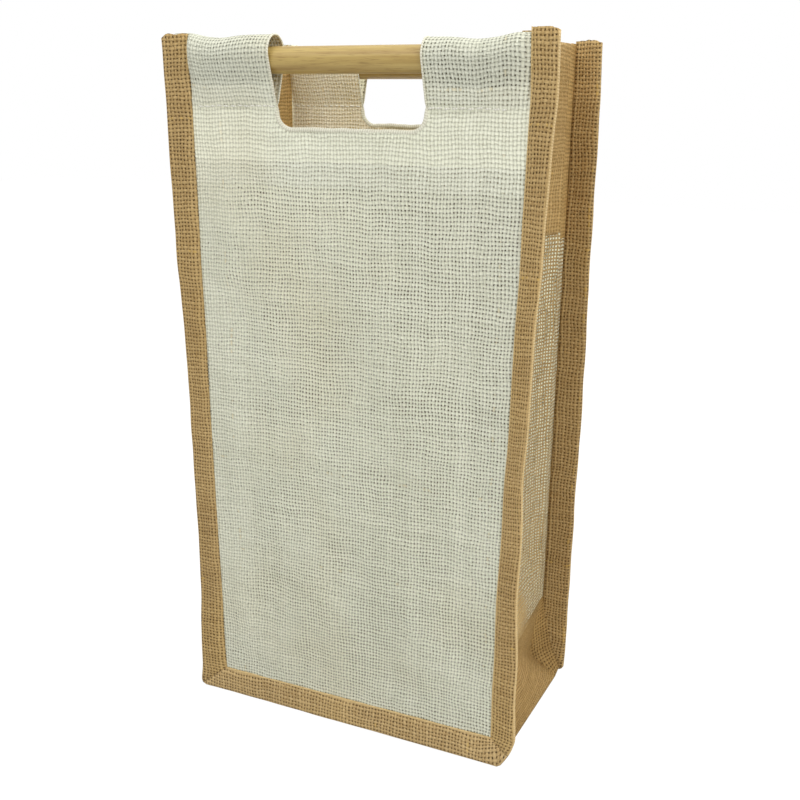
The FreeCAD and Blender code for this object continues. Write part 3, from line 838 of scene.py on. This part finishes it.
def make_stitches(face):
    """The rows of white thread that close the two sleeves, loose by the hole and sunk in further along."""
    sign = FACES[face]
    draw = np.random.default_rng(SEED + 90 + sign)
    along = np.linspace(0, 1, 5)
    bow = STITCH_BOW * np.sin(math.pi * along)
    paths = []
    for hand, edge_x in zip(SIDES.values(), hole_edges(face)):
        for layer in (1, -1):
            run = STITCH_START
            while run < SEAM_X - STITCH_END - abs(edge_x):
                long = draw.uniform(*STITCH_LENGTHS)
                slip = draw.uniform(-STITCH_SLIP, STITCH_SLIP)
                sunk = SUNK * smooth_step(SUNK_FROM, SUNK_TO, run)
                z = SLEEVE_FOOT_Z - STITCH_DROP + slip + STITCH_SLANT * along
                out = SEAM_OUT + layer * (LAYER_HALF + STITCH_STAND - sunk + bow)
                paths.append(grid(edge_x + hand * (run + long * along), sign * out, z))
                run += long + draw.uniform(*STITCH_GAPS)
    stitches = tubes_piece(f"{face}_stitches", paths, STITCH_RADIUS, WHITE_THREAD, sides=6)
    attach(stitches, face)
    return stitches


# Bindings

FOLD_RADIUS = 1.75
FOLD_REACH = 0.97
FRONT_LEG_OUT = HALF_DEPTH - BINDING_THICK / 2 - CLOSE
REAR_LEG_OUT = FRONT_LEG_OUT - 2 * FOLD_RADIUS + CLOSE
REAR_LEG_WIDTH = 15.0
FOOT_WIDTH = 16.4
FOOT_CLEAR = 0.5
PALE_EDGE = 0.7
PRESSED, PRESSED_FROM, PRESSED_TO = 0.85, 4.0, 0.5

# The lower corners, rounded across and up. A worn one is cut nearly straight across.
PLAIN_CORNER, WORN_CORNER = (3.5, 3.5), (9.5, 19.0)
ROUND_POWER, CUT_POWER, CUT_FROM = 2.0, 1.1, 6.0
GROOVE, GROOVE_WIDTH = 0.45, 1.3
MITRE_BLEND = 14.0

# The upper ends, frayed and worn at the fold, and the waves of the edges.
TOP_CLEAR, TOP_FRAY, TOP_WORN, WORN_WIDTH = 0.5, 0.5, 1.6, 5.0
ROW_CROWDING = 1.15
EDGE_WAVE, FLAP = 0.5, 0.28
FOOT_WAVE, FOOT_WAVE_MEAN, FOOT_WAVE_PART = 0.3, 0.5, 0.4

# How far each face's flanges lean in at the top, and how far its foot stands out at the right.
LEANS = {"front": 0.5, "back": 4.5}
LEAN_FROM_Z = 120.0
SPREADS = {"front": 1.6, "back": 0.0}
SPREAD_TOP_Z = 60.0

# Heights, and how far the bindings' outer and inner edges stand out from their CAD places there, in mm.
EDGE_HEIGHTS = (0, 25, 100, 180, 280, 344, 374)
EDGE_SHIFTS = {
    ("front", "right"): (-1.2, -1.8, -4.3, -4.0, -0.6, 1.9, 1.7),
    ("front", "left"): (-1.0, -2.2, -4.2, -3.4, -0.4, 1.0, 1.5),
    ("back", "right"): (0.4, 0.2, 0.2, 0.4, -0.2, -0.2, -0.8),
    ("back", "left"): (-0.6, -0.8, -2.0, -1.6, -0.4, 0.2, 0.6),
}
SEAM_SHIFTS = {
    ("front", "right"): (0.1, 0.1, 0.2, 2.3, 4.6, 5.5, 4.7),
    ("front", "left"): (-3.9, -3.6, -2.6, -1.5, -0.8, 0.0, 0.1),
    ("back", "right"): (0.0, 0.0, 0.0, 0.0, 0.0, 0.0, 0.0),
    ("back", "left"): (-1.0, -1.0, -0.6, 0.0, 1.0, 1.6, 1.8),
}


def edge_shift(face, side, z):
    """How far a binding's outer edge stands out from its CAD place."""
    return np.interp(z, EDGE_HEIGHTS, EDGE_SHIFTS[face, side])


def seam_shift(face, side, z):
    """How far a binding's inner edge stands out from its CAD place."""
    return np.interp(z, EDGE_HEIGHTS, SEAM_SHIFTS[face, side])


def binding_section(rows_front=9, rows_fold=9, rows_rear=8):
    """The folded strip across, from the front leg to the rear.

    Gives each line's distance in from the outer edge, its out and its place across the flat strip.
    """
    front = np.append(BINDING_WIDTH, np.linspace(BINDING_WIDTH - PALE_EDGE, FOLD_RADIUS, rows_front))
    rear = np.linspace(FOLD_RADIUS, REAR_LEG_WIDTH, rows_rear)
    angle = np.linspace(0.5 * math.pi, 1.5 * math.pi, rows_fold)[1:-1]
    fold_in = FOLD_RADIUS + FOLD_RADIUS * np.cos(angle) * FOLD_REACH
    fold_out = FRONT_LEG_OUT - FOLD_RADIUS + FOLD_RADIUS * np.sin(angle)
    section = np.concatenate([grid(front, FRONT_LEG_OUT), grid(fold_in, fold_out), grid(rear, REAR_LEG_OUT)])
    return section[:, 0], section[:, 1], lengths_along(section)


def folded_depth(inwards, out, from_end):
    """The strip's out, pressed towards the panel at its sewn edge and grooved where it ends on a mitre."""
    outer = out > SEAM_OUT
    pressed = PRESSED * smooth_step(BINDING_WIDTH - PRESSED_FROM, BINDING_WIDTH - PRESSED_TO, inwards)
    groove = GROOVE * np.exp(-from_end / GROOVE_WIDTH)
    return out - pressed * outer - np.where(outer, 1.0, -1.0) * groove


def edge_cells(face, side, rows, inwards):
    """Which cells show pale threads: the front's right and lower sewn edge, and along its right fold."""
    pale = np.zeros((rows - 1, len(inwards) - 1), int)
    if face == "front" and side != "left":
        pale[:, 0] = 1
    if (face, side) == ("front", "right"):
        fold = int(np.argmin(inwards))
        pale[:, fold - 2:fold + 2] = 1
    return pale


def corner_radii(face, side):
    """How far the binding's lower corner is rounded, across and up. The front right one is worn down."""
    return WORN_CORNER if (face, side) == ("front", "right") else PLAIN_CORNER


def corner_power(radius):
    return CUT_POWER if radius > CUT_FROM else ROUND_POWER


def rounded(distance, radius, drop):
    """How far an edge draws in, up to drop, at this distance from a corner rounded over radius."""
    power = corner_power(radius)
    near = np.clip(1 - distance / radius, 0, 1)
    return drop * (1 - (1 - near ** power) ** (1 / power))


def mitre_ends(face, side, inwards):
    """Where each thread line of the folded strip ends on the mitre, as x and z on the right."""
    radius_x, radius_z = corner_radii(face, side)
    cut_share = 1 - 0.5 ** (1 / corner_power(radius_x))
    tip = np.array([HALF_WIDTH - cut_share * radius_x, cut_share * radius_z])
    inner = np.array([SEAM_X + seam_shift(face, side, 0), FOOT_WIDTH])
    ends = tip + (inner - tip) * np.clip(inwards / BINDING_WIDTH, 0, 1)[:, None]
    return ends[:, 0], ends[:, 1]


def flange_lean(face, inwards, z):
    """How far the loose flange leans inwards towards its top, at a distance in from its outer edge."""
    return LEANS[face] * smooth_step(LEAN_FROM_Z, TOP_Z, z) * smooth_step(BINDING_WIDTH, 0, inwards)


def foot_spread(face, x, inwards):
    """How far the front's foot stands out towards its right corner."""
    towards = np.clip((x + HALF_WIDTH) / (2 * HALF_WIDTH), 0, 1)
    return SPREADS[face] * towards * smooth_step(BINDING_WIDTH, 0, inwards)


def side_lines(face, side, z, lane):
    """The x of a side binding's thread lines, on the right. lane goes from 0 outside to 1 at the seam."""
    radius_x, radius_z = corner_radii(face, side)
    outer = HALF_WIDTH + edge_shift(face, side, z) - rounded(z, radius_z, radius_x)
    inner = SEAM_X + seam_shift(face, side, z)
    return outer + (inner - outer) * lane


def foot_lines(face, x, lane):
    """The z of a bottom binding's thread lines, with lane as for the side ones."""
    low = FOOT_CLEAR
    for side, hand in SIDES.items():
        radius_x, radius_z = corner_radii(face, side)
        low = low + rounded(HALF_WIDTH - hand * x, radius_x, radius_z)
    return low + (FOOT_WIDTH - low) * lane


def make_side_binding(face, side):
    """The folded strip on one upright edge, mitred at its foot."""
    sign, hand = FACES[face], SIDES[side]
    inwards, out, across = binding_section()
    end_x, end_z = mitre_ends(face, side, inwards)
    fray = TOP_FRAY * ripple(across, 0, 180 + 3 * sign + hand, shortest=3, longest=9)
    worn = TOP_WORN * smooth_step(WORN_WIDTH, 0, inwards) ** 2
    top = TOP_Z - TOP_CLEAR + fray - worn
    z = end_z + (top - end_z) * np.linspace(0, 1, 130)[:, None] ** ROW_CROWDING
    lane = inwards / BINDING_WIDTH
    miss = end_x - side_lines(face, side, end_z, lane)
    x = side_lines(face, side, z, lane) + miss * (1 - smooth_step(0, MITRE_BLEND, z - end_z))
    wave = EDGE_WAVE * ripple(z, 0, 100 + 7 * sign + hand, shortest=18, longest=90)
    x = x + wave * smooth_step(6, 40, z) * (1 - 0.5 * lane)
    flap = FLAP * ripple(z, inwards, 130 + 5 * sign + hand, shortest=14, longest=60)
    spread = foot_spread(face, hand * x, inwards) * smooth_step(SPREAD_TOP_Z, FOOT_WIDTH, z)
    depth = folded_depth(inwards, out, z - end_z) + flap * smooth_step(3, 20, z) + spread
    points = grid(hand * x, sign * (depth - flange_lean(face, inwards, z)), z)
    strip = sheet_piece(
        f"{face}_{side}_strip", points, grid(across, z), [JUTE_WEAVE, CREASE_THREAD], BINDING_THICK,
        kinds=edge_cells(face, side, len(z), inwards), flip=sign * hand > 0,
    )
    dress_strip(strip, face, f"{face}_{side}_binding")


def make_bottom_binding(face):
    """The folded strip along a panel's foot, mitred at both ends."""
    sign = FACES[face]
    inwards, out, across = binding_section()
    left_x, left_z = mitre_ends(face, "left", inwards)
    right_x, right_z = mitre_ends(face, "right", inwards)
    x = -left_x + (right_x + left_x) * np.linspace(0, 1, 100)[:, None]
    lane = inwards / BINDING_WIDTH
    z = foot_lines(face, x, lane)
    for end_x, end_z in ((-left_x, left_z), (right_x, right_z)):
        miss = end_z - foot_lines(face, end_x, lane)
        z = z + miss * (1 - smooth_step(0, MITRE_BLEND, np.abs(x - end_x)))
    near_end = np.minimum(x + left_x, right_x - x)
    wave = FOOT_WAVE_MEAN + FOOT_WAVE_PART * ripple(x, 0, 160 + sign, shortest=20, longest=80)
    z = z + FOOT_WAVE * np.maximum(wave, 0) * smooth_step(4, 30, near_end) * (1 - lane)
    depth = folded_depth(inwards, out, near_end) + foot_spread(face, x, inwards)
    strip = sheet_piece(
        f"{face}_bottom_strip", grid(x, sign * depth, z), grid(x, across), [FOOT_LIT_WEAVE, CREASE_THREAD],
        BINDING_THICK, kinds=edge_cells(face, "bottom", len(x), inwards), flip=sign > 0,
    )
    dress_strip(strip, face, f"{face}_bottom_binding")


def dress_strip(strip, face, node):
    """Puts a folded strip of natural jute in a node's place on its face."""
    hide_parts(node)
    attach(strip, face)


# Gusset

SIDE_HEM = 98.0
HEM_Z = GUSSET_TOP_Z - SIDE_HEM
HEM_DROP, HEM_TURN = 0.8, 0.7
FLOOR_Z = 0.6

# Steps on each stretch of the gusset's long lines: upright, flare, turn, rise to the base, and base.
EDGE_COUNTS = (110, 20, 5, 8, 30)
RIM_X, RIM_Z = HALF_WIDTH - 8.0, 3.2
SEAM_Z, SEAM_FOOT_X = 14.0, SEAM_X - 14.0
CORNER_TURN = (2.5, 4.0)
BASE_RISE_X, FLOOR_STEP = SEAM_X - 6.0, 3.0
BULGE_X, BULGE_Z = 0.62, 0.55

# The lower corners of the seam and of its allowance, and the flare that runs out to the floor.
SEAM_CORNERS = {"front": (88.5, 5.0), "back": (98.2, 2.5)}
RIM_CORNERS = {"front": (91.0, 10.0), "back": (98.2, 6.5)}
FLARE_REACH = {"front": 91.5, "back": 98.5}
FLARE_TOP = {"front": CORNER_Z - 2.0, "back": 12.0}
POCKET = {"front": 0.0, "back": 4.0}
FLARE_CREASE_Z, FLARE_CREASE_FALL = 39.3, 0.66

# The strip beside a panel: its lines in the allowance, the sunk one at the seam, and those up to the fold.
ALLOWANCE_SHARES = np.linspace(0, 0.9, 5)
SUNK_SHARE, SUNK_DEPTH = 0.985, 0.35
FOLD_SHARES = np.linspace(0.12, 1, 6)
OPEN_LINE = len(ALLOWANCE_SHARES) + 1
OPEN_RISE = 4.0

# The trough of the empty bag's sides and the softness of the cloth.
EXTRA_SAG, HOLLOW_RISE = 1.0, 42.0
HOLLOW_FADE, FADE_FROM, FADE_TO = 0.75, FACING_Z - 14.0, SLEEVE_FOOT_Z - 6.0
SIDE_SOFT, SOFT_FROM_Z = 0.5, 80.0
BASE_SOFT = 0.5


def both_sides(right, passes=3):
    """A line from the right to the middle and on to its mirror image, with its corners eased."""
    points = np.concatenate([right, right[-2::-1] * (-1, 1)])
    for _ in range(passes):
        points[1:-1] = (points[:-2] + 2 * points[1:-1] + points[2:]) / 4
    return points


def fold_line(reach, flare_top, pocket):
    """The gusset's line at one depth: upright to flare_top, out to reach on the floor, then the base.

    pocket is how far it draws in at flare_top.
    """
    upright = corner_line([(SIDE_X, GUSSET_TOP_Z), (SIDE_X, CORNER_Z)], EDGE_COUNTS[:1])[:-1]
    crease_x = SIDE_X - pocket
    bulge = (crease_x + BULGE_X * (reach - crease_x), BULGE_Z * flare_top)
    corners = np.array([(SIDE_X, CORNER_Z), (crease_x, flare_top), bulge, (reach, FLOOR_Z)])
    steps = lengths_along(corners)
    places = np.linspace(0, steps[-1], EDGE_COUNTS[1], endpoint=False)
    flare = grid(*(np.interp(places, steps, corners[:, axis]) for axis in (0, 1)))
    low = [(reach, FLOOR_Z), (reach - FLOOR_STEP, FLOOR_Z), (BASE_RISE_X, BASE_Z), (0, BASE_Z)]
    return both_sides(np.concatenate([upright, flare, corner_line(low, EDGE_COUNTS[2:])]))


def seam_line(corner, upright_x, low):
    """A line beside the seam in x and z: upright, out to the lower corner, in along the foot at low."""
    turn = (corner[0] - CORNER_TURN[0], corner[1] - CORNER_TURN[1])
    upright = [(upright_x, GUSSET_TOP_Z), (upright_x, CORNER_Z)]
    return both_sides(corner_line([*upright, corner, turn, (SEAM_FOOT_X, low), (0, low)], EDGE_COUNTS))


def make_gusset_edge(face):
    """The gusset beside one panel: its seam allowance inside the bindings and the strip up to the fold."""
    sign = FACES[face]
    rim = seam_line(RIM_CORNERS[face], RIM_X, RIM_Z)
    seam = seam_line(SEAM_CORNERS[face], SEAM_X, SEAM_Z)
    fold = fold_line(FLARE_REACH[face], FLARE_TOP[face], POCKET[face])
    seam_out = SEAM_OUT - LAYER_HALF
    lines = [(rim + (seam - rim) * share, seam_out) for share in ALLOWANCE_SHARES]
    lines.append((rim + (seam - rim) * SUNK_SHARE, seam_out - SUNK_DEPTH))
    for share in FOLD_SHARES:
        lines.append((seam + (fold - seam) * share, seam_out + (FOLD_OUT - seam_out) * share))
    columns = []
    for line, out in lines:
        x, z = line.T
        columns.append(grid(x, sign * (out - flange_lean(face, HALF_WIDTH - np.abs(x), z)), z))
    points = np.stack(columns, axis=1)
    across = lengths_along(points, 1)
    along = lengths_along(seam)
    height = seam[:-1, 1]
    kinds = np.full((len(points) - 1, len(lines) - 1), TIGHT)
    kinds[height > HEM_Z] = HEMMED
    if face == "back":
        kinds[(height > CORNER_Z + OPEN_RISE) & (height < HEM_Z), OPEN_LINE:] = OPEN
    weave = grid(across, along[:, None])
    edge = sheet_piece(f"{face}_gusset_strip", points, weave, GUSSET_KINDS, kinds=kinds, flip=sign < 0)
    dress_strip(edge, face, f"{face}_gusset_edge")


def hollow(along, z):
    """How far the empty bag's side gusset draws in between its two fold lines, in one trough."""
    rise = smooth_step(CORNER_Z, CORNER_Z + HOLLOW_RISE, z)
    fade = 1 - HOLLOW_FADE * smooth_step(FADE_FROM, FADE_TO, z)
    lane = np.abs(along) / FOLD_OUT
    return (GUSSET_SAG + EXTRA_SAG) * rise * fade * (1 - lane ** 3)


def make_side_gusset(side):
    """One side of the gusset between its two fold lines, drawn in as it hangs, with a hem at the top."""
    hand = SIDES[side]
    along = np.linspace(-FOLD_OUT, FOLD_OUT, 57)
    turn_z = GUSSET_TOP_Z - HEM_DROP
    angle = np.linspace(0, math.pi, 6)[1:-1]
    up = grid(0.0, np.linspace(CORNER_Z, turn_z, 120))
    turn = grid(HEM_TURN - HEM_TURN * np.cos(angle), turn_z + HEM_TURN * np.sin(angle))
    hem = grid(2 * HEM_TURN, np.linspace(turn_z, HEM_Z, 40))
    rows = np.concatenate([up, turn, hem])
    flat_along = lengths_along(rows)
    inward, z = rows[:, :1], rows[:, 1:]
    soft = SIDE_SOFT * ripple(along, z, 200 + hand) * (1 - (along / FOLD_OUT) ** 2)
    soft = soft * smooth_step(CORNER_Z, SOFT_FROM_Z, z)
    x = SIDE_X - hollow(along, z) - inward + soft
    kinds = np.full((len(rows) - 1, len(along) - 1), OPEN)
    kinds[rows[:-1, 1] > HEM_Z] = HEMMED
    gusset = sheet_piece(
        f"{side}_gusset", grid(hand * x, along, z), grid(along, flat_along[:, None]), GUSSET_KINDS,
        kinds=kinds, flip=hand < 0,
    )
    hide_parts(f"{side}_gusset_front_half", f"{side}_gusset_back_half")
    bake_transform(gusset)


def make_base():
    """The base between its fold lines."""
    reach = BASE_HIGH[0]
    across = np.linspace(-reach, reach, 60)
    along = np.linspace(-FOLD_OUT, FOLD_OUT, 33)[:, None]
    sag = BASE_SOFT * ripple(across, along, 230) * np.cos(across / reach * math.pi / 2)
    sag = sag * np.cos(along / FOLD_OUT * math.pi / 2)
    base = sheet_piece("base", grid(across, along, BASE_Z + sag), grid(across, along), [GUSSET_WEAVE])
    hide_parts("base_front_half", "base_back_half")
    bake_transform(base)


def make_base_corner(side):
    """The rounded corner between one side and the base."""
    hand = SIDES[side]
    rows = slice(EDGE_COUNTS[0] - 1, sum(EDGE_COUNTS[:4]) + 1)
    columns = []
    for place in np.linspace(-FOLD_OUT, FOLD_OUT, 36):
        backness = (place + FOLD_OUT) / (2 * FOLD_OUT)
        reach = FLARE_REACH["front"] + (FLARE_REACH["back"] - FLARE_REACH["front"]) * backness
        flare_top = np.clip(FLARE_CREASE_Z - FLARE_CREASE_FALL * place, FLARE_TOP["back"], FLARE_TOP["front"])
        x, z = fold_line(reach, flare_top, POCKET["back"] * backness)[rows].T
        columns.append(grid(hand * x, place, z))
    points = np.stack(columns, axis=1)
    weave = grid(lengths_along(points, 1), lengths_along(points, 0))
    corner = sheet_piece(f"{side}_corner", points, weave, [GUSSET_WEAVE], flip=hand > 0)
    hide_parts(f"{side}_base_corner")
    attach(corner, "front")
    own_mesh(corner)


# Stage

FLOOR_SIZE, FLOOR_DROP = 3000.0, 0.05
FLOOR_GREY, FLOOR_GLOW, FLOOR_SHOWN = 0.62, 1.12, 0.86
SKY_COLOUR, SKY_STRENGTH = (1.0, 0.99, 0.97, 1), 0.56

# Each lamp's place and the height it aims at over the origin in m, its power in W and its size in m.
LAMPS = {
    "key": ((-0.45, -1.25, 1.75), 0.2, 12.0, 1.1),
    "fill": ((1.2, -0.8, 0.8), 0.2, 6.0, 1.0),
    "top": ((0.2, 0.0, 1.7), 0.2, 10.0, 1.0),
    "back": ((0.4, 1.4, 0.9), 0.22, 23.0, 1.0),
}

# The camera, fitted to the bag's corners: azimuth, elevation and roll in degrees, and its eye in m.
CAMERA_ANGLES = (22.92, 17.30, 0.54)
CAMERA_EYE = (0.2093, -0.4756, 0.3424)
SENSOR_WIDTH, LENS, CLIP_START = 36.0, 43.09, 0.01


def seen_directly(g):
    """1 for rays from the camera, a mirror or glass, and 0 for light that falls on the bag."""
    path = g.node("ShaderNodeLightPath").outputs
    shown = g.math("MAXIMUM", path["Is Camera Ray"], path["Is Glossy Ray"])
    return g.math("MAXIMUM", shown, path["Is Transmission Ray"])


def make_floor():
    """A pale floor that shows white to the camera and keeps the bag's shadow."""
    corners = [(x * FLOOR_SIZE, y * FLOOR_SIZE, 0) for x, y in ((-1, -1), (1, -1), (1, 1), (-1, 1))]
    material, g = new_material("floor")
    diffuse = g.node("ShaderNodeBsdfDiffuse", {"Color": (FLOOR_GREY, FLOOR_GREY, FLOOR_GREY, 1)})
    glow = g.node("ShaderNodeEmission", {"Strength": FLOOR_GLOW})
    g.end(g.shade(g.times(seen_directly(g), FLOOR_SHOWN), diffuse.outputs[0], glow.outputs[0]))
    floor = new_object("floor", corners, [(0, 1, 2, 3)], materials=[material])
    floor.location.z = -FLOOR_DROP * MM


def make_world():
    """A white backdrop and soft light from all round."""
    world = bpy.data.worlds.new("studio")
    world.use_nodes = True
    bpy.context.scene.world = world
    g = Graph(world.node_tree)
    light = g.node("ShaderNodeBackground", {"Color": SKY_COLOUR, "Strength": SKY_STRENGTH})
    backdrop = g.node("ShaderNodeBackground", {"Color": (1, 1, 1, 1)})
    g.end(g.shade(seen_directly(g), light.outputs[0], backdrop.outputs[0]), "ShaderNodeOutputWorld")


def make_lamp(name, place, target_z, power, size):
    lamp = bpy.data.lights.new(name, "AREA")
    lamp.energy = power
    lamp.size = size
    made = bpy.data.objects.new(name, lamp)
    bpy.context.scene.collection.objects.link(made)
    made.location = place
    made.rotation_euler = (Vector((0, 0, target_z)) - Vector(place)).to_track_quat("-Z", "Y").to_euler()


def make_camera():
    """The photograph's viewpoint."""
    azimuth, elevation, roll = (math.radians(angle) for angle in CAMERA_ANGLES)
    back = Vector((
        math.sin(azimuth) * math.cos(elevation),
        -math.cos(azimuth) * math.cos(elevation),
        math.sin(elevation),
    ))
    level = Vector((math.cos(azimuth), math.sin(azimuth), 0))
    upright = back.cross(level)
    right = math.cos(roll) * level + math.sin(roll) * upright
    up = math.cos(roll) * upright - math.sin(roll) * level
    lens = bpy.data.cameras.new("camera")
    lens.sensor_width = SENSOR_WIDTH
    lens.lens = LENS
    lens.clip_start = CLIP_START
    made = bpy.data.objects.new("camera", lens)
    made.matrix_world = Matrix((*zip(right, up, back, CAMERA_EYE), (0, 0, 0, 1)))
    bpy.context.scene.collection.objects.link(made)
    bpy.context.scene.camera = made


make_camera()
make_world()
make_floor()
for lamp_name, lamp_values in LAMPS.items():
    make_lamp(lamp_name, *lamp_values)
bpy.context.scene.view_settings.view_transform = "Standard"

for face_name in FACES:
    cloth, flat = make_face_cloth(face_name)
    edge, rim = make_hole_edge(face_name)
    stitches = make_stitches(face_name)
    for side_name in SIDES:
        make_side_binding(face_name, side_name)
    make_bottom_binding(face_name)
    make_gusset_edge(face_name)
    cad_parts[f"{face_name}_dowel"].data.materials.clear()
    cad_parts[f"{face_name}_dowel"].data.materials.append(DOWEL_WOOD)
for side_name in SIDES:
    make_side_gusset(side_name)
    make_base_corner(side_name)
make_base()
